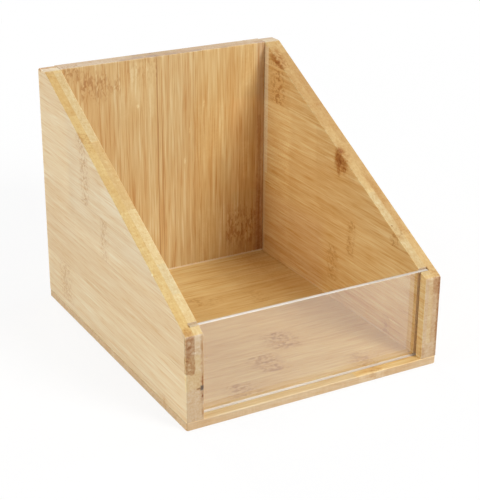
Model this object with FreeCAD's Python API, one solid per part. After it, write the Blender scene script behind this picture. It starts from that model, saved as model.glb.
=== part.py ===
import FreeCAD, Part
import math
import os

# A desk bin of laminated bamboo: two sloping sides and a back stand on a thin base, and a clear
# window drops into a groove in each side to close the low front.
# Lengths are millimetres. The origin is the centre of the base's underside, +X is to the right as
# seen from the front, +Y runs to the back and +Z is up.

# Overall size
bin_width = 155.0
bin_depth = 185.0
bin_height = 144.4
front_height = 53.0

# Boards
base_thickness = 5.0
side_thickness = 10.0
back_thickness = 10.0
flat_top_depth = 10.0  # level stretch on top of each side, from the rear to where the slope starts

# Sanded edges
board_edge_radius = 0.5
side_corner_radius = 2.0
base_corner_radius = 1.2
base_top_chamfer = 0.5
base_bottom_chamfer = 0.5

# Window, and the groove in each side that holds one end of it
window_thickness = 2.0
window_edge_chamfer = 0.25
window_face_play = 0.2  # from each face of the window to the groove's wall
window_end_play = 0.5  # from each end of the window to the groove's closed end
window_top_rise = 0.2  # how far the window's top edge stands above the slope
groove_depth = 5.5
tongue_depth = 5.0  # wood left in front of the groove

# Countersunk screws, driven up through the base into the lower edges of the boards
screw_diameter = 3.0
screw_length = 16.0
screw_head_diameter = 5.5
screw_head_sink = 0.3  # from the base's underside up to the head's flat
screw_tip_length = 3.0
screw_tip_radius = 0.2
screw_base_clearance = 0.2
screw_pilot_clearance = 0.05
screw_end_gap = 0.5
recess_width = 0.9
recess_length = 3.2
recess_depth = 1.2

# Glued dowels, each half in a side and half in the end of the back panel
dowel_diameter = 5.0
dowel_length = 20.0
dowel_chamfer = 0.6
dowel_glue_clearance = 0.05
dowel_end_gap = 0.5
dowel_in_side_share = 0.65  # of the side's thickness

# Places of what repeats
side_screw_shares = (-0.3, 0.3)  # of the bin's depth, from its middle
back_screw_shares = (-0.25, 0.25)  # of the bin's width, from its middle
dowel_height_shares = (0.2, 0.8)  # of the back panel's height, from the base

# How far a cutting tool runs past the face that it enters
overrun = 5.0

# Planes that more than one board meets
outer_x = bin_width / 2
inner_x = outer_x - side_thickness
front_y = -bin_depth / 2
rear_y = bin_depth / 2
slope_end_y = rear_y - flat_top_depth
side_middle_x = outer_x - side_thickness / 2
back_middle_y = rear_y - back_thickness / 2

# Groove and window, one behind the other from the front
groove_front_y = front_y + tongue_depth
groove_width = window_thickness + 2 * window_face_play
window_front_y = groove_front_y + window_face_play


def vector(x, y, z):
    return FreeCAD.Vector(x, y, z)


def block(low, high):
    """Box between two opposite corners."""
    size = [b - a for a, b in zip(low, high)]
    return Part.makeBox(*size, vector(*low))


def slope_height(y):
    """Height of the sides' sloping edge at a place between the front and the level top."""
    rise = bin_height - front_height
    return front_height + rise * (y - front_y) / (slope_end_y - front_y)


def mirrored(shape):
    """The same piece on the left of the bin."""
    return shape.mirror(vector(0, 0, 0), vector(1, 0, 0))


def edges_where(shape, wanted):
    return [edge for edge in shape.Edges if wanted(edge.BoundBox)]


def is_flat(low, high):
    return math.isclose(low, high, abs_tol=Part.Precision.confusion())


def runs_upright(box):
    return is_flat(box.XMin, box.XMax) and is_flat(box.YMin, box.YMax)


def lies_level_at(box, height):
    return is_flat(box.ZMin, height) and is_flat(box.ZMax, height)


def revolved(outline):
    """Round piece about +Z from an outline of (radius, height) pairs that starts and ends on the axis."""
    points = [vector(radius, 0, height) for radius, height in outline]
    wire = Part.makePolygon(points + [points[0]])
    return Part.Face(wire).revolve(vector(0, 0, 0), vector(0, 0, 1), 360)


def screw_places():
    """Where the screws stand, as (x, y) pairs for the right side and for the back panel."""
    side = [(side_middle_x, share * bin_depth) for share in side_screw_shares]
    back = [(share * bin_width, back_middle_y) for share in back_screw_shares]
    return side, back


def screw():
    """Countersunk screw standing on the Z axis, with its head at the bottom and a cross recess in it."""
    shank_radius = screw_diameter / 2
    head_radius = screw_head_diameter / 2
    neck_height = screw_head_sink + head_radius - shank_radius
    top = screw_head_sink + screw_length
    body = revolved([
        (0, screw_head_sink),
        (head_radius, screw_head_sink),
        (shank_radius, neck_height),
        (shank_radius, top - screw_tip_length),
        (screw_tip_radius, top),
        (0, top),
    ])
    for turn in (0, 90):
        slot = block(
            (-recess_length / 2, -recess_width / 2, 0),
            (recess_length / 2, recess_width / 2, screw_head_sink + recess_depth),
        )
        slot.rotate(vector(0, 0, 0), vector(0, 0, 1), turn)
        body = body.cut(slot)
    return body


def screw_hole():
    """What one screw takes out of the base, as a countersink and a free hole, and of the board above it."""
    mouth_radius = screw_head_diameter / 2 + screw_base_clearance + screw_head_sink
    free_radius = screw_diameter / 2 + screw_base_clearance
    pilot_radius = screw_diameter / 2 + screw_pilot_clearance
    top = screw_head_sink + screw_length + screw_end_gap
    return revolved([
        (0, -overrun),
        (mouth_radius + overrun, -overrun),
        (free_radius, mouth_radius - free_radius),
        (free_radius, base_thickness),
        (pilot_radius, base_thickness),
        (pilot_radius, top),
        (0, top),
    ])


def placed(shape, places):
    """A copy of the shape at each (x, y)."""
    return [shape.translated(vector(x, y, 0)) for x, y in places]


def dowel_span():
    """Where a right-hand dowel starts and ends along X."""
    end = inner_x + side_thickness * dowel_in_side_share
    return end - dowel_length, end


def dowel_heights():
    panel_height = bin_height - base_thickness
    return [base_thickness + share * panel_height for share in dowel_height_shares]


def dowel_bores():
    """Bores in the right side and in the back panel's end, each a little deeper than its dowel."""
    start, end = dowel_span()
    radius = dowel_diameter / 2 + dowel_glue_clearance
    length = end - start + 2 * dowel_end_gap
    return [
        Part.makeCylinder(radius, length, vector(start - dowel_end_gap, back_middle_y, height), vector(1, 0, 0))
        for height in dowel_heights()
    ]


def base_board():
    """Thin board with rounded corners, its upper and lower edges broken all round."""
    board = block((-outer_x, front_y, 0), (outer_x, rear_y, base_thickness))
    board = board.makeFillet(base_corner_radius, edges_where(board, runs_upright))
    board = board.makeChamfer(
        base_top_chamfer, edges_where(board, lambda box: lies_level_at(box, base_thickness))
    )
    board = board.makeChamfer(base_bottom_chamfer, edges_where(board, lambda box: lies_level_at(box, 0)))
    side_places, back_places = screw_places()
    left_places = [(-x, y) for x, y in side_places]
    return board.cut(placed(screw_hole(), side_places + left_places + back_places))


def side_blank():
    """The right side before its groove and bores: the sloping outline, extruded and sanded round."""
    outline = [
        (front_y, base_thickness),
        (front_y, front_height),
        (slope_end_y, bin_height),
        (rear_y, bin_height),
        (rear_y, base_thickness),
    ]
    points = [vector(inner_x, y, z) for y, z in outline]
    face = Part.Face(Part.makePolygon(points + [points[0]]))
    blank = face.extrude(vector(side_thickness, 0, 0))
    blank = blank.makeFillet(
        side_corner_radius,
        edges_where(blank, lambda box: not is_flat(box.XMin, box.XMax) and box.ZMin > base_thickness),
    )
    return blank.makeFillet(
        board_edge_radius,
        edges_where(blank, lambda box: is_flat(box.XMin, box.XMax) and not lies_level_at(box, base_thickness)),
    )


def right_side():
    """Side board with the window's groove, which opens on the slope and is closed by the base."""
    groove = block(
        (inner_x - overrun, groove_front_y, base_thickness - overrun),
        (inner_x + groove_depth, groove_front_y + groove_width, bin_height),
    )
    side_places, _ = screw_places()
    return side_blank().cut([groove] + placed(screw_hole(), side_places) + dowel_bores())


def back_panel():
    """Board between the two sides, bored at both ends and from below."""
    panel = block((-inner_x, rear_y - back_thickness, base_thickness), (inner_x, rear_y, bin_height))
    sanded = edges_where(
        panel,
        lambda box: runs_upright(box) or (lies_level_at(box, bin_height) and is_flat(box.YMin, box.YMax)),
    )
    panel = panel.makeFillet(board_edge_radius, sanded)
    _, back_places = screw_places()
    bores = dowel_bores()
    return panel.cut(bores + [mirrored(bore) for bore in bores] + placed(screw_hole(), back_places))


def front_window():
    """Clear pane that stands on the base, with every edge broken."""
    half_width = inner_x + groove_depth - window_end_play
    top = slope_height(window_front_y) + window_top_rise
    pane = block(
        (-half_width, window_front_y, base_thickness),
        (half_width, window_front_y + window_thickness, top),
    )
    return pane.makeChamfer(window_edge_chamfer, pane.Edges)


def dowel(height):
    """Right-hand dowel at a height, with chamfered ends."""
    start, end = dowel_span()
    pin = Part.makeCylinder(dowel_diameter / 2, end - start, vector(start, back_middle_y, height), vector(1, 0, 0))
    rims = edges_where(pin, lambda box: is_flat(box.XMin, box.XMax))
    return pin.makeChamfer(dowel_chamfer, rims)


def all_nodes():
    side = right_side()
    side_places, back_places = screw_places()
    side_screws = Part.makeCompound(placed(screw(), side_places))
    dowels = Part.makeCompound([dowel(height) for height in dowel_heights()])
    return {
        "base_board": base_board(),
        "left_side": mirrored(side),
        "right_side": side,
        "back_panel": back_panel(),
        "front_window": front_window(),
        "left_base_screws": mirrored(side_screws),
        "right_base_screws": side_screws,
        "back_base_screws": Part.makeCompound(placed(screw(), back_places)),
        "left_corner_dowels": mirrored(dowels),
        "right_corner_dowels": dowels,
    }


def main():
    os.makedirs("parts", exist_ok=True)
    for name, shape in all_nodes().items():
        shape.exportStep(os.path.join("parts", name + ".step"))
        box = shape.BoundBox
        print(
            f"{name}: {len(shape.Solids)} solid(s), volume {shape.Volume:.1f}, valid {shape.isValid()}, "
            f"x {box.XMin:.2f} to {box.XMax:.2f}, y {box.YMin:.2f} to {box.YMax:.2f}, "
            f"z {box.ZMin:.2f} to {box.ZMax:.2f}"
        )


main()
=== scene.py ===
import bmesh
import bpy
from mathutils import Matrix, Vector

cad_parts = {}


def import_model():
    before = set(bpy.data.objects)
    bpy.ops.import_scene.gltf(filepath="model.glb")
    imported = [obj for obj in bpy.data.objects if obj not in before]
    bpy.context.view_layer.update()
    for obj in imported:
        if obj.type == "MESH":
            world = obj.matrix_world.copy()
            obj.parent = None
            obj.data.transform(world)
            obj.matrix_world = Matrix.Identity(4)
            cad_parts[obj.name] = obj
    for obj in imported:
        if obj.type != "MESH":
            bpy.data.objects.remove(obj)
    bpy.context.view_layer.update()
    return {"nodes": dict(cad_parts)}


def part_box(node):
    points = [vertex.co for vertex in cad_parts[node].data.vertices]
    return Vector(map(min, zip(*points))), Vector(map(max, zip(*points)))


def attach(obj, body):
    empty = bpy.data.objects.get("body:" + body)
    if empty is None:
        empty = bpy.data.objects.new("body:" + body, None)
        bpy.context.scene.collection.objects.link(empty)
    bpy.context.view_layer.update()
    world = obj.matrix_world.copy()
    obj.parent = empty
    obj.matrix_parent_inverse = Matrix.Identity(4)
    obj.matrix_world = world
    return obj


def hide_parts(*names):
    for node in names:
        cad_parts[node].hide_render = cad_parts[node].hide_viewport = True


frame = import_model()

# The looks of a desk bin of laminated bamboo with a lift-out clear window.
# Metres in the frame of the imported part: X to the right, Y to the back and Z up. Where a line says
# millimetres, they are in the same frame.

MM = 0.001
WHITE = (1.0, 1.0, 1.0, 1.0)

# Camera, as fitted to the straight edges of the photograph
PHOTO_LONG_SIDE = 500  # pixels
FOCAL_LENGTH = 1329.6  # pixels
SENSOR_WIDTH = 36.0
CAMERA_PLACE = Vector((-0.3378, -0.6125, 0.3483))
VIEW_DIRECTION = Vector((0.4485, 0.8028, -0.3928))
PICTURE_RIGHT = Vector((0.8740, -0.4858, 0.0050))
NEAREST_SEEN, FARTHEST_SEEN = 0.01, 20.0

# Light
WORLD_LEVEL = 0.30
FLOOR_SIZE = 6.0
FLOOR_HOLE_INSET = 1.0 * MM  # the base covers a hole, through which its underside shows from below
FLOOR_BOUNCE = 0.80  # how pale the floor is for the light that it throws back
FLOOR_SHADOW_SHARE = 0.16  # how much of the floor's seen colour its own light and shadow make
FLOOR_SHADOW_REACH = (250.0, 800.0)  # millimetres away where that share starts to fall and ends
LAMP_SIZE = 0.7
LAMP_AIM = Vector((0.0, 0.0, 0.06))
LAMPS = {
    # name: (place, power in watts)
    "key_lamp": ((0.6, -1.4, 0.9), 21.9),
    "left_lamp": ((-1.5, -0.3, 0.7), 4.4),
    "high_lamp": ((-1.0, 0.3, 1.4), 4.6),
    "rear_lamp": ((0.0, 1.6, 0.7), 9.6),
    "right_lamp": ((1.6, 0.1, 0.55), 6.4),
    "under_lamp": ((0.1, -0.3, -1.2), 8.0),
}


def paint(red, green, blue):
    """Colour for a shader, by the sRGB curve, from the numbers that a picture shows, 0 to 255."""
    def linear(part):
        part = part / 255
        return part / 12.92 if part <= 0.04045 else ((part + 0.055) / 1.055) ** 2.4

    return (linear(red), linear(green), linear(blue), 1.0)


NOISE_MIDDLE = 0.5
DIRECT_VIEWS = ("Is Camera Ray", "Is Glossy Ray", "Is Transmission Ray")  # rays that only look


class Tree:
    """The nodes of a material or a world, with a short call for each kind that the looks use."""

    def __init__(self, owner):
        self.owner = owner
        owner.use_nodes = True
        self.nodes = owner.node_tree.nodes
        self.links = owner.node_tree.links
        self.nodes.clear()

    def feed(self, socket, value):
        if isinstance(value, bpy.types.NodeSocket):
            self.links.new(value, socket)
        else:
            socket.default_value = value

    def put(self, kind, inputs, **settings):
        node = self.nodes.new(kind)
        for name, value in settings.items():
            setattr(node, name, value)
        for name, value in inputs.items():
            self.feed(node.inputs[name], value)
        return node

    def calc(self, operation, *values):
        return self.put("ShaderNodeMath", dict(enumerate(values)), operation=operation).outputs[0]

    def total(self, *values):
        result = values[0]
        for value in values[1:]:
            result = self.calc("ADD", result, value)
        return result

    def step(self, value, low, high, start=0.0, end=1.0):
        """Smooth change from start to end while the value goes from low to high."""
        node = self.put(
            "ShaderNodeMapRange",
            {"Value": value, "From Min": low, "From Max": high, "To Min": start, "To Max": end},
            interpolation_type="SMOOTHSTEP",
        )
        return node.outputs["Result"]

    def between(self, value, low, high, soft):
        """One inside a stretch and zero outside it, with soft ends."""
        middle, half = (low + high) / 2, abs(high - low) / 2
        away = self.calc("ABSOLUTE", self.calc("SUBTRACT", value, middle))
        return self.step(away, half + soft / 2, max(half - soft / 2, 0.0))

    def mix_numbers(self, share, first, second):
        """Goes from the first to the second as the share goes from zero to one."""
        inputs = {"Factor": share, "A": first, "B": second}
        return self.put("ShaderNodeMix", inputs, data_type="FLOAT").outputs[0]

    def mix_colours(self, share, first, second):
        """The same for colours, which have sockets 6 and 7 and output 2 of the node."""
        node = self.put("ShaderNodeMix", {0: share, 6: first, 7: second}, data_type="RGBA")
        return node.outputs[2]

    def mix_shaders(self, share, first, second):
        """The same for shaders."""
        return self.put("ShaderNodeMixShader", {0: share, 1: first, 2: second}).outputs[0]

    def power(self, colour, exponent):
        """Each part of the colour raised to the exponent."""
        return self.put("ShaderNodeGamma", {"Color": colour, "Gamma": exponent}).outputs[0]

    def vector(self, operation, *values, **inputs):
        inputs.update(enumerate(values))
        return self.put("ShaderNodeVectorMath", inputs, operation=operation).outputs[0]

    def length(self, vector):
        return self.put("ShaderNodeVectorMath", {0: vector}, operation="LENGTH").outputs["Value"]

    def apart(self, vector):
        """The vector's three parts."""
        return self.put("ShaderNodeSeparateXYZ", {0: vector}).outputs[:3]

    def place(self):
        """The piece's own place in millimetres."""
        where = self.put("ShaderNodeTexCoord", {}).outputs["Object"]
        return self.vector("SCALE", where, Scale=1 / MM)

    def facing(self):
        """The three parts of the surface's own direction."""
        return self.apart(self.put("ShaderNodeTexCoord", {}).outputs["Normal"])

    def lumps(self, parts, sizes):
        """Where to read a noise, for lumps as long as the sizes along the three parts."""
        x, y, z = (self.calc("DIVIDE", part, size) for part, size in zip(parts, sizes))
        return self.put("ShaderNodeCombineXYZ", {"X": x, "Y": y, "Z": z}).outputs[0]

    def noise(self, place, detail=2.0, distortion=0.0):
        """Noise about zero, with lumps as long as one unit of the place."""
        inputs = {"Vector": place, "Scale": 1.0, "Detail": detail, "Distortion": distortion}
        level = self.put("ShaderNodeTexNoise", inputs).outputs["Fac"]
        return self.calc("SUBTRACT", level, NOISE_MIDDLE)

    def relief(self, height, strength, depth):
        """Fine bumps, whose depth is in millimetres."""
        inputs = {"Height": height, "Strength": strength, "Distance": depth * MM}
        return self.put("ShaderNodeBump", inputs).outputs[0]

    def seen(self):
        """One for the eye, mirrors and clear pieces, and zero for the light."""
        path = self.put("ShaderNodeLightPath", {})
        eye, mirror, clear = (path.outputs[view] for view in DIRECT_VIEWS)
        return self.calc("MAXIMUM", self.calc("MAXIMUM", eye, mirror), clear)

    def finish(self, shader):
        """Shows the shader and gives back what it is on."""
        on_world = isinstance(self.owner, bpy.types.World)
        kind = "ShaderNodeOutputWorld" if on_world else "ShaderNodeOutputMaterial"
        self.put(kind, {"Surface": shader})
        return self.owner


# Bamboo, in millimetres. Its noise stays mostly between -0.25 and 0.25.
AXES = {"x": 0, "y": 1, "z": 2}
BROWN = (0.72, 0.55, 0.40, 1.0)  # what one step of stain leaves of red, green and blue light
AMBER = (0.77, 0.55, 0.34, 1.0)  # the same for one step of the fibres' figure
FIBRES = {
    # name: (length, thickness, steps of figure)
    "fine": (13.0, 0.45, 0.80),
    "middle": (32.0, 1.1, 1.0),
    "wide": (45.0, 3.0, 0.8),
    "broad": (70.0, 8.0, 0.6),
}
DASH_NOISE = (0.10, 0.32)  # where in the noise the darkest fibres start and are full
DASH_DEPTH = 0.28
PALE_NOISE = (-0.08, -0.24)  # the same for the palest streaks
PALE_DEPTH = 0.12
VEIN_SIZE = (120.0, 1.1, 1.0)  # length, spacing and depth of the thin dark lines
VEIN_NOISE = 0.06  # their half width in the noise
WANDER_SIZE = (30.0, 9.0, 1.0)  # of the waves that all fibres of a strip follow
STRIP_JUMP, PLY_JUMP = 37.3, 211.7  # how far apart in the noise two strips and two plies are
NO_JOINT = 1000.0  # farther than any joint
JOINT_WIDTH = 0.25
JOINT_DEPTHS = (0.10, 0.35)  # steps of stain on cut edges and on faces
NODE_OUTLINE_SIZE = (5.0, 2.4, 3.0)  # of the lumps on a node's ragged outline
NODE_RAGGED = 4.0  # how far they reach at most
NODE_END_FADE = 0.9  # of the node's length
NODE_SIDE_FADE = 1.2
NODE_TWIST = 0.6  # of the lumps inside a node
NODE_SWIRL = 3.5  # how far a node pushes the fibres aside
NODE_FLECK_NOISE = (-0.06, 0.22)  # where its dark flecks start and are full
NODE_RINGS = 15.0
NODE_DEPTHS = (0.26, 0.75, 0.18)  # all over, in its flecks and along its rings
FACE_TURN = (0.55, 0.85)  # how squarely a surface is turned where a board's face starts and is full
END_TURN = (0.60, 0.90)  # the same for the fibres' cut ends
ABOVE_TURN = (-0.1, 0.1)  # and for the upper of a board's two faces
RIM_TURN = (0.40, 0.85, 0.2)  # the rounded edges: from, to and softness
EDGE_HIGHLIGHT = 0.30  # painted highlight: how much paler the rounded edges are
CUT_QUIET = 0.5  # how much of the fibres' contrast a cut edge shows
SANDING_SIZE = (6.0, 0.7)  # the fine marks on cut edges, through the board and the other ways
SANDING_DEPTH = 0.42
BLOTCH_SIZE = 5.0  # of the clouds on cut edges
COARSE_SIZE, COARSE_RAGGED = 3.3, 1.5  # the ragged sides of soft patches and tints
FINE_SIZE, FINE_RAGGED = 1.2, 0.5  # and of dabs and films
PATCH_CRISP = 0.35  # a patch or tint softer than this has ragged sides
DAB_FADE = (1.1, 0.35)  # where a dab starts and is full, as shares of its reach
MOTTLE_SIZE = 1.3
MOTTLE = 1.1  # how uneven patches and dabs are
LINE_FADE = 20.0  # at both ends of a board's own line
RELIEF_HEIGHTS = (-0.6, -0.5)  # of the darkest fibres and the joints, beside the other fibres' 1
BAMBOO_RELIEF = (0.15, 0.06)  # strength and depth, as in the other reliefs
BAMBOO_ROUGH = (0.46, 0.2, 0.08)  # all over, and more with the fibres and in the darkest ones
BAMBOO_GLOSS = 0.35
GLUE_AND_PAINTED_LIGHT = paint(234, 216, 188)  # dried glue in the corners, also painted light that lifts their shade
HAZE = paint(196, 178, 152)  # dull film of glue and dust
PALE_WASH = paint(222, 210, 197)  # a pale greyish wash
SOOT = paint(58, 52, 52)  # the heart of a knot
SMOKE = paint(150, 124, 114)  # grey stains on the top edge
SCUFF = paint(190, 162, 116)  # a dull stretch of it
GROOVE_LIGHT = paint(255, 212, 158)  # painted light that brightens the shaded walls of a groove
PINK = (0.94, 0.90, 1.08, 1.0)  # what a pinker stretch leaves of red, green and blue light
PALE = (0.94, 0.97, 1.05, 1.0)  # the same for a duller stretch
YELLOW = (1.04, 1.05, 0.93, 1.0)  # for a yellower one
WARM = (1.07, 1.00, 0.97, 1.0)  # and for a redder one


def strips(tree, across, row):
    """What the strip at a place across a ply is like.

    row is a list of (from, tone on the face, tone on cut edges). Gives the strip's two tones, its
    number and the way to its nearest joint.
    """
    (_, face_tone, cut_tone), *others = row
    face, cut, number, gap = face_tone, cut_tone, 0.0, NO_JOINT
    for place, next_face, next_cut in others:
        past = tree.calc("GREATER_THAN", across, place)
        face = tree.calc("MULTIPLY_ADD", past, next_face - face_tone, face)
        cut = tree.calc("MULTIPLY_ADD", past, next_cut - cut_tone, cut)
        number = tree.calc("ADD", number, past)
        away = tree.calc("ABSOLUTE", tree.calc("SUBTRACT", across, place))
        gap = tree.calc("MINIMUM", gap, away)
        face_tone, cut_tone = next_face, next_cut
    return face, cut, number, gap


def node_marks(tree, along, across, marks):
    """How strongly a place is inside one of the bamboo's nodes.

    marks is a list of (from along, to along, from across, to across, strength).
    """
    strength = 0.0
    for start, end, low, high, power in marks:
        span = tree.between(along, start, end, NODE_END_FADE * abs(end - start))
        width = tree.between(across, low, high, NODE_SIDE_FADE)
        mask = tree.calc("MULTIPLY", tree.calc("MULTIPLY", span, width), power)
        strength = tree.calc("MAXIMUM", strength, mask)
    return strength


def inside_box(tree, place, low, high, soft):
    """One inside a box and zero outside it, with soft sides."""
    middle = [(a + b) / 2 for a, b in zip(low, high)]
    half = [abs(b - a) / 2 for a, b in zip(low, high)]
    away = tree.vector("SUBTRACT", place, middle)
    away = tree.vector("SUBTRACT", tree.vector("ABSOLUTE", away), half)
    x, y, z = tree.apart(away)
    most = tree.calc("MAXIMUM", x, tree.calc("MAXIMUM", y, z))
    return tree.step(most, soft / 2, -soft / 2)


def inside_egg(tree, place, centre, reach):
    """One in the middle of an egg-shaped spot and zero outside it."""
    away = tree.vector("DIVIDE", tree.vector("SUBTRACT", place, centre), reach)
    return tree.step(tree.length(away), *DAB_FADE)


def ragged_place(tree, place, size, ragged):
    """The place, pushed about in lumps of the size, mostly by up to half of ragged."""
    inputs = {"Vector": tree.vector("SCALE", place, Scale=1 / size), "Scale": 1.0}
    colour = tree.put("ShaderNodeTexNoise", inputs).outputs["Color"]
    push = tree.vector("SUBTRACT", colour, (NOISE_MIDDLE, NOISE_MIDDLE, NOISE_MIDDLE))
    return tree.vector("ADD", place, tree.vector("SCALE", push, Scale=2 * ragged))


def fibre_figure(tree, board, parts, seed):
    """The fibres' figure, its darkest fibres and its middling ones.

    parts are the ways along the fibres, across them and into the board.
    """
    along, side, deep = parts
    own_along, own_deep = tree.calc("ADD", along, seed), tree.calc("ADD", deep, seed)
    fibres = {}
    for size, (length, thick, _) in FIBRES.items():
        sizes = (length * board["fibre_share"], thick, thick)
        fibres[size] = tree.noise(tree.lumps((own_along, side, own_deep), sizes), detail=1.0)
    dash = tree.step(tree.calc("ADD", fibres["fine"], fibres["middle"]), *DASH_NOISE)
    pale = tree.step(fibres["middle"], *PALE_NOISE)
    line = tree.noise(tree.lumps((along, side, own_deep), VEIN_SIZE), detail=0.0)
    vein = tree.step(tree.calc("ABSOLUTE", line), VEIN_NOISE, 0.0)
    figure = tree.total(
        *(tree.calc("MULTIPLY", fibres[size], steps) for size, (_, _, steps) in FIBRES.items()),
        tree.calc("MULTIPLY", dash, DASH_DEPTH),
        tree.calc("MULTIPLY", pale, -PALE_DEPTH),
        tree.calc("MULTIPLY", vein, board["vein"]),
    )
    return figure, dash, fibres["middle"]


def node_stain(tree, swirl):
    """Stain inside a node: some all over, and more in its dark flecks and along its rings."""
    fleck = tree.step(swirl, *NODE_FLECK_NOISE)
    rings = tree.calc("SINE", tree.calc("MULTIPLY", swirl, NODE_RINGS))
    all_over, in_flecks, in_rings = NODE_DEPTHS
    return tree.total(
        all_over,
        tree.calc("MULTIPLY", fleck, in_flecks),
        tree.calc("MULTIPLY", rings, in_rings),
    )


def cut_stain(tree, board, place, depth):
    """Stain that only the cut edges show: clouds and fine marks of sanding."""
    through, other_ways = SANDING_SIZE
    sizes = [through if axis == depth else other_ways for axis in AXES]
    sanding = tree.noise(tree.lumps(tree.apart(place), sizes))
    blotch = tree.noise(tree.vector("SCALE", place, Scale=1 / BLOTCH_SIZE))
    sanding = tree.calc("MULTIPLY", sanding, SANDING_DEPTH)
    return tree.calc("MULTIPLY_ADD", blotch, board["blotch"], sanding)


def own_stain(tree, board, places, along, side):
    """Stain of the board's own patches, dabs and lines.

    places are the place itself and the two that give coarse and fine ragged sides.
    """
    place, coarse, fine = places
    spots = 0.0
    for low, high, steps, soft in board["patches"]:
        spot = coarse if soft > PATCH_CRISP else place
        spots = tree.calc("MULTIPLY_ADD", inside_box(tree, spot, low, high, soft), steps, spots)
    for centre, reach, steps in board["dabs"]:
        spots = tree.calc("MULTIPLY_ADD", inside_egg(tree, fine, centre, reach), steps, spots)
    mottle = tree.noise(tree.vector("SCALE", place, Scale=1 / MOTTLE_SIZE))
    spots = tree.calc("MULTIPLY", spots, tree.calc("MULTIPLY_ADD", mottle, 2 * MOTTLE, 1.0))
    for where, low, high, wide, steps in board["lines"]:
        on_line = tree.between(side, where - wide / 2, where + wide / 2, wide)
        on_line = tree.calc("MULTIPLY", on_line, tree.between(along, low, high, LINE_FADE))
        spots = tree.calc("MULTIPLY_ADD", on_line, steps, spots)
    return spots


def own_hues(tree, board, places, shown):
    """The colour with the board's own tints and films over it."""
    place, coarse, fine = places
    for low, high, share, soft, tint in board["tints"]:
        spot = coarse if soft > PATCH_CRISP else place
        cover = tree.calc("MULTIPLY", inside_box(tree, spot, low, high, soft), share)
        shown = tree.vector("MULTIPLY", shown, tree.mix_colours(cover, WHITE, tint))
    for low, high, share, soft, film in board["films"]:
        cover = tree.calc("MULTIPLY", inside_box(tree, fine, low, high, soft), share)
        shown = tree.mix_colours(cover, shown, film)
    return shown


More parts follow.
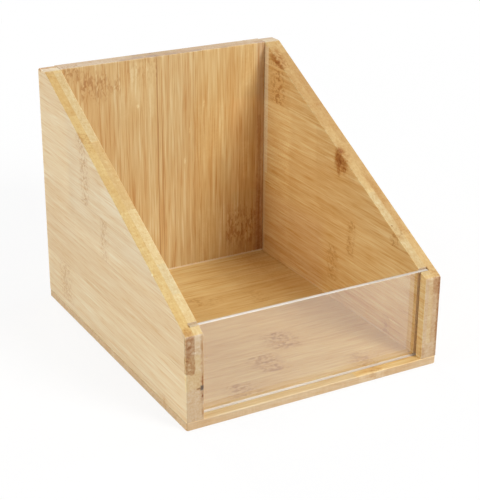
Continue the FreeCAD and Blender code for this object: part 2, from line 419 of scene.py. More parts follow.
def bamboo(name, board):
    """Laminated bamboo with a satin coat, from one board's description.

    grain and width are the axes along the fibres and across the strips, and split is the place of
    the glue line between the two plies on the third axis. waver is how far the fibres wander aside
    at most, and figure is their contrast on the faces below and above. fibre_share is their length
    beside the usual. vein and blotch are the depths of the thin lines and the cut edges' clouds.
    Each ply gives its strips, as (from, tone on the face, tone on cut edges), and its nodes, whose
    lumps are as long and as wide as lump says.
    lines run along the fibres, as (across, from, to, width, stain). patches are stained boxes, as
    (low, high, stain, softness), and dabs are stained spots, as (centre, reach, stain). tints are
    boxes of another hue and films are boxes of what lies on the wood, both as (low, high, share,
    softness, colour).
    colours are those of the faces below and above, of the cut edges and of the fibres' ends.
    """
    tree = Tree(bpy.data.materials.new(name))
    place, facing = tree.place(), tree.facing()
    parts = tree.apart(place)
    grain, width = board["grain"], board["width"]
    depth = (set(AXES) - {grain, width}).pop()
    along, across, deep = (parts[AXES[axis]] for axis in (grain, width, depth))
    above = tree.step(facing[AXES[depth]], *ABOVE_TURN)
    face_turn = tree.calc("ABSOLUTE", facing[AXES[depth]])
    end_turn = tree.calc("ABSOLUTE", facing[AXES[grain]])
    on_face = tree.step(face_turn, *FACE_TURN)

    # The strip and the node that the place is in
    outline = tree.noise(tree.lumps((along, across, deep), NODE_OUTLINE_SIZE))
    loose = tree.calc("MULTIPLY_ADD", outline, 2 * NODE_RAGGED, along)
    plies = [
        (*strips(tree, across, ply["strips"]), node_marks(tree, loose, across, ply["nodes"]))
        for ply in board["plies"]
    ]
    upper = tree.calc("GREATER_THAN", deep, board["split"])
    face_tone, cut_tone, number, gap, mark = (
        tree.mix_numbers(upper, *pair) for pair in zip(plies[0], plies[-1])
    )
    joint = tree.step(gap, JOINT_WIDTH, 0.0)

    # The fibres, where each strip has its own stretch of the noise
    seed = tree.total(
        tree.calc("MULTIPLY", number, STRIP_JUMP),
        tree.calc("MULTIPLY", upper, PLY_JUMP),
        board["seed"],
    )
    lump_length, lump_width = board["lump"]
    lump = tree.lumps(
        (along, across, tree.calc("ADD", deep, seed)), (lump_length, lump_width, lump_width)
    )
    swirl = tree.noise(lump, detail=1.0, distortion=NODE_TWIST)
    wander = tree.noise(tree.lumps((along, across, seed), WANDER_SIZE))
    push = tree.total(
        tree.calc("MULTIPLY", wander, 2 * board["waver"]),
        tree.calc("MULTIPLY", tree.calc("MULTIPLY", swirl, mark), NODE_SWIRL),
    )
    side = tree.calc("ADD", across, push)
    figure, dash, fibre = fibre_figure(tree, board, (along, side, deep), seed)
    contrast = tree.mix_numbers(on_face, CUT_QUIET, tree.mix_numbers(above, *board["figure"]))

    # The wood's colour, stained and figured, with the board's own hues over it
    coarse = ragged_place(tree, place, COARSE_SIZE, COARSE_RAGGED)
    fine = ragged_place(tree, place, FINE_SIZE, FINE_RAGGED)
    places = (place, coarse, fine)
    on_cut = tree.calc("SUBTRACT", 1.0, on_face)
    stain = tree.total(
        tree.mix_numbers(on_face, cut_tone, face_tone),
        tree.calc("MULTIPLY", cut_stain(tree, board, place, depth), on_cut),
        tree.calc("MULTIPLY", joint, tree.mix_numbers(on_face, *JOINT_DEPTHS)),
        tree.calc("MULTIPLY", mark, node_stain(tree, swirl)),
        # painted highlight along the rounded edges
        tree.calc("MULTIPLY", tree.between(face_turn, *RIM_TURN), -EDGE_HIGHLIGHT),
        own_stain(tree, board, places, along, side),
    )
    colours = board["colours"]
    face = tree.mix_colours(above, colours["below"], colours["above"])
    cut = tree.mix_colours(tree.step(end_turn, *END_TURN), colours["cut"], colours["end"])
    shown = tree.mix_colours(on_face, cut, face)
    shown = tree.vector("MULTIPLY", shown, tree.power(BROWN, stain))
    grained = tree.power(AMBER, tree.calc("MULTIPLY", figure, contrast))
    shown = tree.vector("MULTIPLY", shown, grained)
    shown = own_hues(tree, board, places, shown)

    dash_height, joint_height = RELIEF_HEIGHTS
    height = tree.total(
        tree.calc("MULTIPLY", dash, dash_height),
        fibre,
        tree.calc("MULTIPLY", joint, joint_height),
    )
    rough, fibre_rough, dash_rough = BAMBOO_ROUGH
    shader = tree.put("ShaderNodeBsdfPrincipled", {
        "Base Color": shown,
        "Roughness": tree.total(
            rough,
            tree.calc("MULTIPLY", fibre, fibre_rough),
            tree.calc("MULTIPLY", dash, dash_rough),
        ),
        "Normal": tree.relief(height, *BAMBOO_RELIEF),
        "Specular IOR Level": BAMBOO_GLOSS,
    })
    return tree.finish(shader.outputs[0])


# Window, in millimetres
PANE_LIFT = 0.05  # keeps its lower edge apart from the board that it stands on
PANE_BEVEL = 0.25
PANE_BEVEL_STEPS = 2
PANE_FACE_TURN = 0.99  # a polished face is turned at least this squarely to the front or back
PANE_IOR = 1.93  # acrylic under its thin film
PANE_CLEAR = (0.985, 0.985, 0.985, 1.0)
PANE_ROUGH = 0.02
SAWN_DARK = (paint(217, 210, 199), paint(197, 187, 174))  # at the left and, duller with painted darker surroundings, at the right
SAWN_PALE = (paint(241, 234, 224), paint(219, 209, 196))
# painted refraction: the shaded wood of the left groove, as seen through the clear edge
GROOVE_WOOD_SEEN = paint(208, 182, 140)
SAWN_RIDGE_SIZE = (0.5, 5.0, 0.5)
SAWN_CLOUD_SIZE = 10.0
SAWN_RELIEF = (0.4, 0.05)
SAWN_ROUGH = 0.5
SAWN_DARKER_SEEN = (-40.0, 70.0)  # painted refraction: the sawn edge shows darker surroundings from here to there
SAWN_IN_GROOVE = (-67.0, -68.2)  # and shows, as painted refraction, the wood of the left groove
GROOVE_WOOD_SEEN_SHARE = 0.9


def clear_sheet(name):
    """Clear polished sheet that mirrors a little on both faces."""
    tree = Tree(bpy.data.materials.new(name))
    back = tree.put("ShaderNodeNewGeometry", {}).outputs["Backfacing"]
    ratio = tree.calc("MULTIPLY_ADD", back, 1 / PANE_IOR - PANE_IOR, PANE_IOR)
    mirror = tree.put("ShaderNodeFresnel", {"IOR": ratio}).outputs[0]
    through = tree.put("ShaderNodeBsdfTransparent", {"Color": PANE_CLEAR})
    gloss = tree.put("ShaderNodeBsdfGlossy", {"Color": WHITE, "Roughness": PANE_ROUGH})
    return tree.finish(tree.mix_shaders(mirror, through.outputs[0], gloss.outputs[0]))


def sawn_edge(name):
    """The sheet's sawn edge, frosted and finely ridged, with painted refraction of darker
    surroundings and of the left groove's wood.
    """
    tree = Tree(bpy.data.materials.new(name))
    place = tree.place()
    parts = tree.apart(place)
    ridges = tree.noise(tree.lumps(parts, SAWN_RIDGE_SIZE))
    clouds = tree.noise(tree.vector("SCALE", place, Scale=1 / SAWN_CLOUD_SIZE))
    shade = tree.total(NOISE_MIDDLE, ridges, clouds)
    darker_seen = tree.step(parts[0], *SAWN_DARKER_SEEN)
    dark, pale = tree.mix_colours(darker_seen, *SAWN_DARK), tree.mix_colours(darker_seen, *SAWN_PALE)
    groove_wood_seen = tree.calc("MULTIPLY", tree.step(parts[0], *SAWN_IN_GROOVE), GROOVE_WOOD_SEEN_SHARE)
    shader = tree.put("ShaderNodeBsdfPrincipled", {
        "Base Color": tree.mix_colours(groove_wood_seen, tree.mix_colours(shade, dark, pale), GROOVE_WOOD_SEEN),
        "Roughness": SAWN_ROUGH,
        "Normal": tree.relief(ridges, *SAWN_RELIEF),
    })
    return tree.finish(shader.outputs[0])


def window_pane():
    """The window as a sheet with broken edges, its sawn edges apart from its polished faces."""
    low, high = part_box("front_window")
    low.z += PANE_LIFT * MM
    sheet = bmesh.new()
    bmesh.ops.create_cube(sheet, size=1.0)
    for vert in sheet.verts:
        vert.co = Vector(a + (b - a) * (c + 0.5) for a, b, c in zip(low, high, vert.co))
    bmesh.ops.bevel(
        sheet, geom=sheet.edges[:], offset=PANE_BEVEL * MM, segments=PANE_BEVEL_STEPS,
        profile=0.5, affect="EDGES",
    )
    for face in sheet.faces:
        face.material_index = 0 if abs(face.normal.y) > PANE_FACE_TURN else 1
    mesh = bpy.data.meshes.new("window_pane")
    sheet.to_mesh(mesh)
    sheet.free()
    mesh.materials.append(clear_sheet("clear_acrylic"))
    mesh.materials.append(sawn_edge("sawn_acrylic"))
    pane = bpy.data.objects.new("window_pane", mesh)
    bpy.context.scene.collection.objects.link(pane)
    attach(pane, "window")
    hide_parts("front_window")


# Screws and dowels, in millimetres
ZINC_COLOURS = (paint(178, 176, 170), paint(214, 212, 206))
ZINC_MARK_SIZE = (0.15, 0.15, 2.0)
ZINC_CLOUD_SIZE = (2.0, 2.0, 2.0)
ZINC_RELIEF = (0.3, 0.02)
ZINC_ROUGH = (0.34, 0.25)  # all over, and more with the marks
BEECH = paint(214, 180, 138)
BEECH_FIBRE_SIZE = (12.0, 0.4, 0.4)
BEECH_CONTRAST = 0.8
BEECH_RELIEF = (0.4, 0.05)
BEECH_ROUGH = 0.6


def zinc(name):
    """Zinc-plated steel with fine drawn marks."""
    tree = Tree(bpy.data.materials.new(name))
    parts = tree.apart(tree.place())
    marks = tree.noise(tree.lumps(parts, ZINC_MARK_SIZE))
    clouds = tree.noise(tree.lumps(parts, ZINC_CLOUD_SIZE))
    rough, mark_rough = ZINC_ROUGH
    shader = tree.put("ShaderNodeBsdfPrincipled", {
        "Base Color": tree.mix_colours(tree.calc("ADD", clouds, NOISE_MIDDLE), *ZINC_COLOURS),
        "Metallic": 1.0,
        "Roughness": tree.calc("MULTIPLY_ADD", marks, mark_rough, rough),
        "Normal": tree.relief(marks, *ZINC_RELIEF),
    })
    return tree.finish(shader.outputs[0])


def beech(name):
    """Plain beech, with its grain along X."""
    tree = Tree(bpy.data.materials.new(name))
    fibre = tree.noise(tree.lumps(tree.apart(tree.place()), BEECH_FIBRE_SIZE))
    shader = tree.put("ShaderNodeBsdfPrincipled", {
        "Base Color": tree.power(BEECH, tree.calc("MULTIPLY_ADD", fibre, BEECH_CONTRAST, 1.0)),
        "Roughness": BEECH_ROUGH,
        "Normal": tree.relief(fibre, *BEECH_RELIEF),
    })
    return tree.finish(shader.outputs[0])


def dress(node, material):
    """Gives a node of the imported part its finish."""
    for slot in frame["nodes"][node].material_slots:
        slot.material = material


# The boards, in millimetres, as described in bamboo()
SIDE_MIDDLE = 72.5
BACK_MIDDLE = 87.5

LEFT_SIDE = {
    "grain": "y", "width": "z", "split": -SIDE_MIDDLE, "seed": 11.0,
    "waver": 0.45, "figure": (0.47, 0.9), "fibre_share": 0.8, "vein": 0.16, "blotch": 0.10,
    "lump": (1.8, 2.0),
    "plies": [
        {
            "strips": [
                (5, 0.0, 0.15), (9, -0.05, 0.15), (33, 0.12, 0.15), (57, 0.03, 0.07),
                (81, -0.05, 0.19), (105, -0.03, 0.12), (127, 0.10, 0.35),
            ],
            "nodes": [
                (25, 34, 81, 112, 0.72), (27, 38, 112, 121, 0.7), (1, 9, 57, 81, 0.55),
                (57, 72, 9, 33, 0.5), (-69, -64, 3, 9, 0.4),
            ],
        },
        {
            "strips": [
                (5, 0.0, 0.0), (22, 0.03, 0.0), (46, -0.06, -0.25), (69.5, -0.10, -0.25),
                (93, 0.03, 0.20), (116.6, -0.09, -0.12), (137, 0.03, -0.05),
            ],
            "nodes": [(-30, -22, 46, 69, 0.5), (40, 48, 93, 116, 0.5)],
        },
    ],
    "lines": [],
    "patches": [
        # Outer face
        ((-78, 48, 57), (-77, 94, 81), 0.08, 6.0),
        ((-78, 8, 81), (-77, 52, 105), 0.10, 6.0),
        # Slope
        ((-78, 28, 116.6), (-72.5, 37, 120.5), 0.06, 1.0),
        ((-76.9, -39, 81), (-72.9, -17, 93), -0.16, 0.6),
        ((-76.9, -48, 76.2), (-72.9, -40.5, 80.2), 0.11, 0.6),
        # Level top
        ((-78, 87.5, 143), (-67, 93, 146), 0.66, 0.5),
        ((-78, 82, 143), (-67, 87.5, 146), -0.28, 0.5),
        # Front end
        ((-78, -94, 32.2), (-72.6, -91, 53), 0.95, 0.8),
        ((-72.4, -94, 5), (-67, -91, 53), 0.10, 0.8),
        ((-72.4, -94, 22), (-69, -91, 33), 0.12, 2.0),
        ((-69.0, -94, 16), (-67, -91, 53), 0.52, 1.0),
        ((-70.0, -94, 14), (-67, -91, 22), 0.18, 2.0),
        ((-69.0, -94, 5), (-67, -91, 14), 0.20, 1.0),
        ((-69.2, -94, 34), (-67.8, -91, 43), -0.12, 0.6),
        ((-72.0, -94, 44), (-69.5, -91, 50), 0.10, 0.6),
        # Groove: painted shade on its walls
        ((-73.5, -87.5, 5), (-68.2, -85.1, 60), 0.25, 0.3),
    ],
    "dabs": [
        # Front end
        ((-75.5, -92.5, 49.4), (1.2, 2, 1.1), -0.75),
        ((-74.2, -92.5, 45.9), (0.9, 2, 1.2), -0.45),
        ((-75.6, -92.5, 37.9), (0.9, 2, 0.8), -0.65),
        ((-73.2, -92.5, 43.6), (1.8, 2, 0.8), -0.9),
        ((-75.4, -92.5, 35.0), (1.2, 2, 1.1), -0.75),
        ((-75.8, -92.5, 42.5), (1.3, 2, 2.5), 0.35),
        ((-68.6, -92.5, 46.5), (0.9, 2, 3.2), 0.8),
        ((-68.3, -92.5, 27.0), (0.7, 2, 4.0), 1.1),
        ((-70.0, -92.5, 23.2), (2.0, 2, 0.8), 1.2),
        ((-68.4, -92.5, 18.6), (0.6, 2, 1.3), 1.6),
        ((-76.6, -92.5, 40.0), (1.2, 2, 0.9), 0.8),
        ((-76.0, -92.5, 47.0), (1.8, 2, 1.2), 0.7),
        ((-68.3, -92.5, 9.0), (0.8, 2, 3.0), 0.6),
        ((-75.3, -90.0, 54.3), (3.2, 3.4, 4), 0.60),
        # Slope
        ((-75.0, 78.2, 141.8), (0.9, 0.9, 2), 0.6),
        ((-77.5, -55.5, 72.3), (0.8, 1.6, 0.8), -0.6),
    ],
    "tints": [
        # Outer face
        ((-78, -100, 70), (-77, 50, 160), 1.0, 20.0, PALE),
        # Front end
        ((-78, -94, 32.2), (-72.6, -91, 53), 1.0, 0.3, PALE),
        ((-69, -94, 14), (-67, -91, 23), 1.0, 0.3, PALE),
        ((-78, -94, 23), (-69.3, -91, 42), 0.9, 1.5, YELLOW),
        # Slope
        ((-72.4, 30, 110), (-67.9, 80, 144), 0.9, 0.3, PALE),
        ((-72.4, -69, 65.5), (-67.9, -50, 75), 0.9, 0.3, PALE),
        ((-77.2, -90, 50), (-72.6, 80, 144), 0.7, 0.3, YELLOW),
    ],
    "films": [
        # Slope
        ((-72.4, -95, 50), (-67, 0, 93), 0.08, 0.5, HAZE),
        # Level top
        ((-78, 82, 143.9), (-67, 87.5, 146), 0.40, 0.5, PALE_WASH),
        # Knot on the front end
        ((-69.4, -95, 21.8), (-67.6, -91, 24.6), 0.80, 0.8, SOOT),
        ((-71.2, -95, 22.7), (-69.2, -91, 23.5), 0.35, 0.5, SOOT),
    ],
    "colours": {
        "below": paint(248, 220, 173), "above": paint(236, 205, 145),
        "cut": paint(218, 186, 129), "end": paint(196, 171, 138),
    },
}
RIGHT_SIDE = {
    "grain": "y", "width": "z", "split": SIDE_MIDDLE, "seed": 83.0,
    "waver": 0.45, "figure": (0.82, 0.50), "fibre_share": 0.8, "vein": 0.20, "blotch": 0.36,
    "lump": (2.2, 2.0),
    "plies": [
        {
            "strips": [
                (5, 0.05, 0.1), (17, 0.06, 0.1), (39, 0.04, 0.10), (61, 0.14, 0.02),
                (85, -0.02, 0.22), (109, -0.02, 0.50), (132, 0.06, 0.34),
            ],
            "nodes": [
                (61, 76, 132, 142, 1.0), (60, 73, 109, 130, 1.2), (-12, -1, 86, 101, 0.6),
                (-22, -16, 39, 61, 0.8), (-5, 4, 17, 39, 0.8), (-65, -59, 61, 71, 0.9),
                (-62, -55, 5, 17, 0.7),
            ],
        },
        {
            "strips": [
                (5, 0.02, 0.1), (20, 0.0, 0.1), (44, 0.03, 0.2), (68, 0.06, 0.42),
                (91.5, 0.02, 0.48), (115, 0.06, 0.72), (139, 0.02, 0.30),
            ],
            "nodes": [
                (12, 22, 44, 68, 0.5), (-52, -42, 20, 44, 0.5), (48, 60, 91.5, 115, 0.4),
                (-93, -86, 51, 57, 0.8),
            ],
        },
    ],
    "lines": [],
    "patches": [
        # Inner face
        ((67, 20, 110), (68, 54, 132), 0.25, 8.0),
        ((67, 54, 110), (68, 80, 132), 0.30, 8.0),
        ((67, 20, 61), (68, 54, 85), -0.12, 8.0),
        ((67, 20, 18), (68, 52, 50), -0.12, 10.0),
        # painted light: this and the next patch lift the shade near the back corner
        ((67, 52, 18), (68, 84, 108), -0.26, 10.0),
        ((67, 54, 61), (68, 84, 85), -0.22, 8.0),
        ((67, -20, 86), (68, 20, 108), 0.27, 6.0),
        # a lighter glue band by the back corner, made paler still as painted light against the
        # corner's shade
        ((67, 78.2, 60), (68, 83, 142), -0.55, 0.3),
        ((67, 5, 12.2), (68, 84, 17.5), 0.18, 1.5),
        ((67, 0, 6), (68, 60, 11.5), -0.12, 1.5),
        # painted light: lifts the shade near the back corner
        ((67, 55, 40), (68, 82, 60), -0.13, 5.0),
        ((67, -56, 17), (68, -20, 39), -0.10, 5.0),
        # Level top
        ((67, 87.5, 143), (78, 93, 146), 0.13, 0.5),
        ((67, 82, 143), (78, 87.5, 146), -0.42, 0.5),
        # Slope
        ((68.2, -8, 96.5), (72.3, 6, 103), 0.20, 1.0),
        ((72, -62, 66), (75, -20, 91), 0.2, 2.0),
        ((72.5, -42, 79), (77, -23, 91), 0.15, 3.0),
        ((73, 61, 133), (77, 72, 139), -0.12, 0.6),
        ((73, 1, 101.5), (77, 26, 115), 0.13, 0.6),
        ((68.2, -42, 79.5), (72.2, -23, 89.5), -0.10, 0.6),
        # Front end
        ((72.5, -94, 43.5), (78, -91, 53), 0.75, 0.8),
        ((72.5, -94, 5), (78, -91, 43.5), 0.30, 0.8),
        ((72.5, -94, 5), (75.7, -91, 14), -0.12, 1.0),
        ((75.7, -94, 5), (78, -91, 14), 0.32, 1.0),
        ((75.7, -94, 14.5), (78, -91, 22.5), -0.11, 0.6),
        ((75.7, -94, 14), (78, -91, 53), 0.72, 1.0),
        ((76, -94, 14), (78, -91, 35), 0.30, 1.0),
        ((67, -94, 5), (72.4, -91, 53), 0.12, 0.8),
        ((67, -94, 13), (72.4, -91, 23), -0.12, 2.0),
        ((67, -94, 5), (69.5, -91, 12), 0.35, 1.0),
        # Groove: painted shade on its walls, mostly under the painted light below
        ((68.2, -87.5, 5), (73.5, -85.1, 60), 0.15, 0.3),
    ],
    "dabs": [
        # Knot on the inner face and the slope
        ((67.5, -3.4, 96.4), (3, 4.4, 7.0), 1.1),
        ((67.5, -8.2, 92.8), (3, 6.0, 5.4), 1.2),
        ((67.5, -2.6, 92.6), (3, 4.0, 6.0), 0.8),
        ((67.5, -4.2, 87.6), (3, 2.4, 4.4), 0.9),
        ((67.5, -9.9, 89.6), (3, 2.2, 3.2), 0.6),
        ((67.5, -5.9, 90.0), (3, 1.3, 1.8), -0.8),
        ((69.0, -3.5, 99.5), (2.6, 3.0, 3.0), 0.5),
        # The same near the top
        ((69.5, 66.5, 136.0), (2.5, 5.0, 3.0), 0.4),
        ((67.5, 73.0, 136.8), (2, 4.4, 3.2), 1.0),
        ((67.5, 67.6, 134.8), (2, 5.0, 2.2), 1.1),
        ((67.5, 62.8, 133.2), (2, 4.2, 1.6), 1.3),
        # Slope
        ((68.9, -57.1, 71.5), (0.7, 0.8, 0.9), 1.8),
    ],
    "tints": [
        # Inner face
        ((67, 15, -10), (68, 90, 45), 0.9, 25.0, PINK),
        # Slope
        ((67.9, -90, 50), (72.4, -34, 84), 1.0, 0.3, PALE),
        # Front end
        ((76.2, -94, 5), (78, -91, 53), 1.0, 0.3, PALE),
        ((70.0, -94, 14), (73.2, -91, 53), 0.8, 0.3, YELLOW),
    ],
    "films": [
        # Groove: painted light that lifts the shade on its walls
        ((67.5, -85.3, 5), (73.5, -84.9, 55.5), 0.95, 0.3, GROOVE_LIGHT),
        ((68.0, -87.7, 5), (73.5, -85.1, 54), 0.8, 0.3, GROOVE_LIGHT),
        # Corner with the back
        ((67, 78.2, 60), (68, 83, 142), 0.55, 0.3, GLUE_AND_PAINTED_LIGHT),
        ((67, 80.2, 5), (68, 83, 70), 0.45, 0.6, GLUE_AND_PAINTED_LIGHT),
        # Corner with the base: glue, and painted light that lifts the corner's shade
        ((67, -72, 4.9), (68, 52, 6.1), 0.20, 0.4, GLUE_AND_PAINTED_LIGHT),
        ((67, -54, 4.9), (68, -34, 6.5), 0.34, 0.4, GLUE_AND_PAINTED_LIGHT),
        ((67, 6, 4.9), (68, 30, 6.2), 0.12, 0.4, GLUE_AND_PAINTED_LIGHT),
        # Level top
        ((67, 82, 143.9), (78, 93, 146), 0.40, 0.5, PALE_WASH),
    ],
    "colours": {
        "below": paint(232, 200, 141), "above": paint(242, 213, 170),
        "cut": paint(216, 185, 129), "end": paint(196, 171, 138),
    },
}
BACK_PANEL = {
    "grain": "z", "width": "x", "split": BACK_MIDDLE, "seed": 147.0,
    "waver": 0.4, "figure": (1.0, 0.62), "fibre_share": 1.0, "vein": 0.34, "blotch": 0.28,
    "lump": (3.4, 1.5),
    "plies": [
        {
            "strips": [
                (-67.5, 0.03, -0.11), (-56, 0.02, -0.11), (-31.7, -0.05, 0.12), (-6.7, 0.0, 0.4),
                (17.4, 0.12, 0.15), (39.9, 0.08, 0.2), (62.2, 0.22, 0.3),
            ],
            "nodes": [
                (137, 146, -66, -56, 1.0), (125, 139, -56, -39, 1.0), (126, 134, -39, -30.5, 0.7),
                (13, 36, 40, 62.2, 1.0), (131, 146, -26, -6, 0.35),
            ],
        },
        {
            "strips": [
                (-67.5, 0.03, 0.16), (-44, -0.04, 0.0), (-20, 0.06, 0.35), (4, 0.0, 0.15),
                (28, 0.09, 0.12), (52, -0.02, -0.05),
            ],
            "nodes": [(62, 74, -44, -20, 0.5), (96, 110, 28, 52, 0.5), (20, 30, 4, 28, 0.4)],
        },
    ],
    "lines": [
        (-30.2, 95, 144, 0.4, 0.15), (-28.2, 60, 100, 0.4, 0.15), (-13.3, 132, 143, 0.8, -0.30),
        (-6.9, 5, 144, 0.6, 1.0), (-3.8, 5, 104, 0.6, 0.8), (-2.1, 20, 125, 0.7, -0.30),
        (0.1, 60, 144, 0.4, 0.35), (2.1, 113, 125, 0.7, -0.30), (4.1, 15, 60, 0.4, 0.30),
        (7.8, 15, 60, 0.5, 0.20), (14.9, 10, 100, 0.6, -0.20), (26.4, 55, 105, 0.6, -0.18),
        (38.6, 15, 60, 0.6, -0.16), (59.8, 98, 142, 0.9, -0.22), (64.5, 5, 110, 0.7, 0.22),
        (-29.5, 95, 106, 0.8, -0.25),
    ],
    "patches": [
        # Front face, beside the right side: painted shade in the corner and in the lower right
        ((66.7, 80, 5), (70, 84, 146), 0.30, 0.8),
        ((62.6, 80, -10), (65.4, 84, 98), 0.38, 1.0),
        ((65.0, 80, 122), (70, 84, 150), 0.25, 2.0),
        ((61.0, 80, -10), (75, 84, 52), 0.45, 8.0),
        ((61.5, 80, -10), (75, 84, 24), 0.28, 4.0),
        # The rest of it
        ((50.0, 80, -10), (58, 84, 15), 0.22, 5.0),
        ((51.5, 80, 58), (56.5, 84, 82), -0.22, 4.0),
        ((51.5, 80, 118), (60, 84, 150), -0.16, 4.0),
        ((18, 80, 8), (61, 84, 42), -0.14, 6.0),
        ((18, 80, 75), (39, 84, 110), -0.12, 6.0),
        ((-31, 80, 108), (-8, 84, 142), -0.12, 6.0),
    ],
    "dabs": [
        ((-19.7, 82.5, 115.7), (1.1, 2, 1.6), -0.55),
        ((24.5, 82.5, 111.3), (0.6, 2, 3.6), -0.5),
        ((14.7, 82.5, 95.5), (0.6, 2, 3.2), -0.5),
        ((11.1, 82.5, 76.1), (0.7, 2, 2.6), -0.5),
        ((52.4, 82.5, 19.9), (2.2, 2, 2.8), 0.45),
        ((57.0, 82.5, 14.5), (1.8, 2, 2.2), 0.40),
    ],
    "tints": [
        ((38, 80, -10), (70, 84, 42), 0.5, 20.0, PINK),
        ((62, 80, -10), (70, 84, 150), 0.9, 6.0, PINK),
        ((-68, 80, 4), (18, 84, 160), 1.0, 20.0, PALE),
        ((62.5, 80, 108), (70, 84, 160), 1.0, 3.0, PALE),
        ((44, 80, 50), (64, 84, 110), 0.9, 8.0, WARM),
    ],
    "films": [
        # Corner with the base
        ((-68, 82, 4), (68, 83, 6.0), 0.9, 0.4, GLUE_AND_PAINTED_LIGHT),
        # Front face
        ((-68, 82, 4), (14, 83, 146), 0.13, 16.0, HAZE),
        # Top edge
        ((-24, 87.5, 143.9), (10, 92.6, 146), 0.45, 2.0, SCUFF),
        ((-30, 83, 143.9), (-26, 85.5, 146), 0.40, 1.5, SMOKE),
        ((-21.5, 84, 143.9), (-14.5, 87.3, 146), 0.40, 1.5, SMOKE),
        ((-12, 83, 143.9), (-5, 87, 146), 0.50, 1.5, SMOKE),
        ((0, 83, 143.9), (7, 85.5, 146), 0.35, 1.5, SMOKE),
        ((17, 83, 143.9), (24, 86, 146), 0.45, 1.5, SMOKE),
        ((37, 82.4, 143.9), (41, 84.5, 146), 0.35, 1.5, SMOKE),
        ((-18.8, 90, 143.9), (-17.0, 92, 146), 0.45, 0.8, SMOKE),
        ((-8.2, 89.4, 143.9), (-6.4, 91.2, 146), 0.45, 0.8, SMOKE),
    ],
    "colours": {
        "below": paint(207, 173, 116), "above": paint(242, 213, 170),
        "cut": paint(214, 182, 131), "end": paint(208, 179, 142),
    },
}
BASE_BOARD = {
    "grain": "x", "width": "y", "split": -1.0, "seed": 305.0,
    "waver": 0.9, "figure": (0.62, 0.68), "fibre_share": 0.8, "vein": 0.16, "blotch": 0.28,
    "lump": (2.6, 2.0),
    "plies": [
        {
            "strips": [
                (-92.5, 0.03, 0.1), (-69, 0.03, 0.1), (-46.5, 0.06, 0.1), (-24, 0.03, 0.1),
                (-5, 0.06, 0.1), (14, 0.08, 0.1), (37, -0.15, 0.1), (60, -0.22, 0.1),
                (83, -0.2, 0.1),
            ],
            "nodes": [
                (-11, -4, 26, 37, 0.6), (-4, 7, 23, 32, 0.35), (4, 19, -46, -26, 1.3),
                (-16, -2, -66, -46.5, 1.2), (-44, -30, -82, -69, 1.0), (33, 43, -92.5, -69, 0.8),
                (24, 33, 13, 31, 0.35),
            ],
        },
    ],
    "lines": [
        (58.9, 0, 75, 1.4, 0.26), (49.0, 26, 75, 1.2, 0.20), (37.8, 36, 75, 1.2, 0.22),
        (25.3, 46, 75, 1.0, 0.16), (17.4, 26, 75, 1.0, 0.16), (12.1, -5, 25, 1.0, 0.14),
        (66.5, -20, 30, 1.2, 0.14), (43.5, -10, 30, 1.0, 0.14), (30.0, -5, 30, 1.0, 0.12),
    ],
    "patches": [
        # Upper face: the darker patches along the right side and towards the back are painted shade
        # of the right side; the last two are lighter
        ((28, 36, 4), (70, 84, 6), 0.32, 16.0),
        ((51, 20, 4), (72, 95, 6), 0.27, 8.0),
        ((66.0, 50, 4), (68, 83, 6), 0.30, 0.3),
        ((44, 58, 4), (60, 95, 6), 0.15, 8.0),
        ((59, -95, 4), (72, 20, 6), 0.10, 6.0),
        ((-62, -86, 4), (-30, -46, 6), -0.10, 6.0),
        ((-34, 12, 4), (4, 62, 6), -0.10, 8.0),
        # Front edge
        ((27, -94, 0), (43, -92, 5), -0.30, 3.0),
        ((-8, -94, 0), (27, -92, 5), -0.10, 3.0),
    ],
    "dabs": [],
    "tints": [
        # Front edge
        ((-80, -94, 0), (80, -92, 4.6), 0.6, 0.3, PALE),
    ],
    "films": [
        # Upper face, under the window and before it
        ((-80, -94, 4), (25, -86.6, 6), 0.35, 1.0, HAZE),
    ],
    "colours": {
        "below": paint(242, 213, 170), "above": paint(227, 193, 130),
        "cut": paint(206, 176, 135), "end": paint(232, 199, 151),
    },
}

dress("left_side", bamboo("left_bamboo", LEFT_SIDE))
dress("right_side", bamboo("right_bamboo", RIGHT_SIDE))
dress("back_panel", bamboo("back_bamboo", BACK_PANEL))
dress("base_board", bamboo("base_bamboo", BASE_BOARD))
window_pane()
for screws in ("left_base_screws", "right_base_screws", "back_base_screws"):
    dress(screws, zinc(screws + "_zinc"))
for dowels in ("left_corner_dowels", "right_corner_dowels"):
    dress(dowels, beech(dowels + "_beech"))


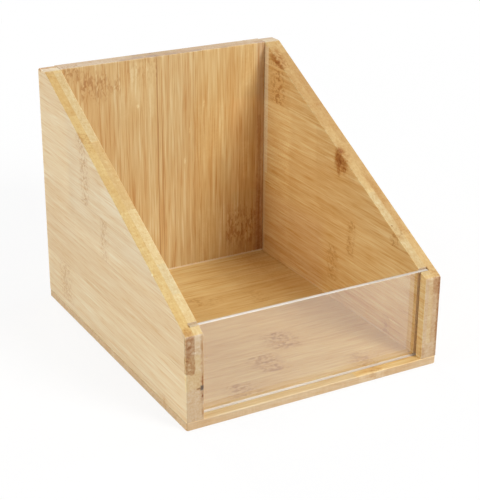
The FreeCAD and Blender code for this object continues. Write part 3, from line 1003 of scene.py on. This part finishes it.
def floor():
    """Plain white floor that keeps a soft shadow of the bin, with a hole that the bin covers."""
    half = FLOOR_SIZE / 2
    low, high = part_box("base_board")
    left, front = low.x + FLOOR_HOLE_INSET, low.y + FLOOR_HOLE_INSET
    right, rear = high.x - FLOOR_HOLE_INSET, high.y - FLOOR_HOLE_INSET
    corners = [
        (-half, -half, 0), (half, -half, 0), (half, half, 0), (-half, half, 0),
        (left, front, 0), (right, front, 0), (right, rear, 0), (left, rear, 0),
    ]
    mesh = bpy.data.meshes.new("floor")
    mesh.from_pydata(corners, [], [(0, 1, 5, 4), (1, 2, 6, 5), (2, 3, 7, 6), (3, 0, 4, 7)])
    plane = bpy.data.objects.new("floor", mesh)
    bpy.context.scene.collection.objects.link(plane)
    tree = Tree(bpy.data.materials.new("floor_white"))
    bounce = (FLOOR_BOUNCE, FLOOR_BOUNCE, FLOOR_BOUNCE, 1.0)
    plain = tree.put("ShaderNodeBsdfDiffuse", {"Color": bounce}).outputs[0]
    lit = tree.put("ShaderNodeBsdfDiffuse", {"Color": WHITE}).outputs[0]
    glow = tree.put("ShaderNodeEmission", {"Strength": 1.0}).outputs[0]
    far = tree.length(tree.place())
    share = tree.step(far, *FLOOR_SHADOW_REACH, FLOOR_SHADOW_SHARE, 0.0)
    shown = tree.mix_shaders(share, glow, lit)
    mesh.materials.append(tree.finish(tree.mix_shaders(tree.seen(), plain, shown)))


def world():
    """White surroundings, which light the bin evenly and less strongly than they show."""
    tree = Tree(bpy.data.worlds.new("studio"))
    level = tree.mix_numbers(tree.seen(), WORLD_LEVEL, 1.0)
    white = tree.put("ShaderNodeBackground", {"Color": WHITE, "Strength": level})
    bpy.context.scene.world = tree.finish(white.outputs[0])


def lamps():
    for name, (place, power) in LAMPS.items():
        data = bpy.data.lights.new(name, "AREA")
        data.shape = "DISK"
        data.size = LAMP_SIZE
        data.energy = power
        lamp = bpy.data.objects.new(name, data)
        lamp.location = place
        lamp.rotation_mode = "QUATERNION"
        lamp.rotation_quaternion = (LAMP_AIM - Vector(place)).to_track_quat("-Z", "Y")
        bpy.context.scene.collection.objects.link(lamp)


def camera():
    """Camera at the photograph's place, with its own roll."""
    data = bpy.data.cameras.new("photo_camera")
    data.sensor_width = SENSOR_WIDTH
    data.lens = FOCAL_LENGTH / PHOTO_LONG_SIDE * SENSOR_WIDTH
    data.clip_start = NEAREST_SEEN
    data.clip_end = FARTHEST_SEEN
    seen_from = bpy.data.objects.new("photo_camera", data)
    back = -VIEW_DIRECTION.normalized()
    right = (PICTURE_RIGHT - PICTURE_RIGHT.dot(back) * back).normalized()
    up = back.cross(right)
    turn = Matrix((right, up, back)).transposed().to_4x4()
    seen_from.matrix_world = Matrix.Translation(CAMERA_PLACE) @ turn
    bpy.context.scene.collection.objects.link(seen_from)
    bpy.context.scene.camera = seen_from


floor()
world()
lamps()
camera()
bpy.context.scene.view_settings.view_transform = "Standard"
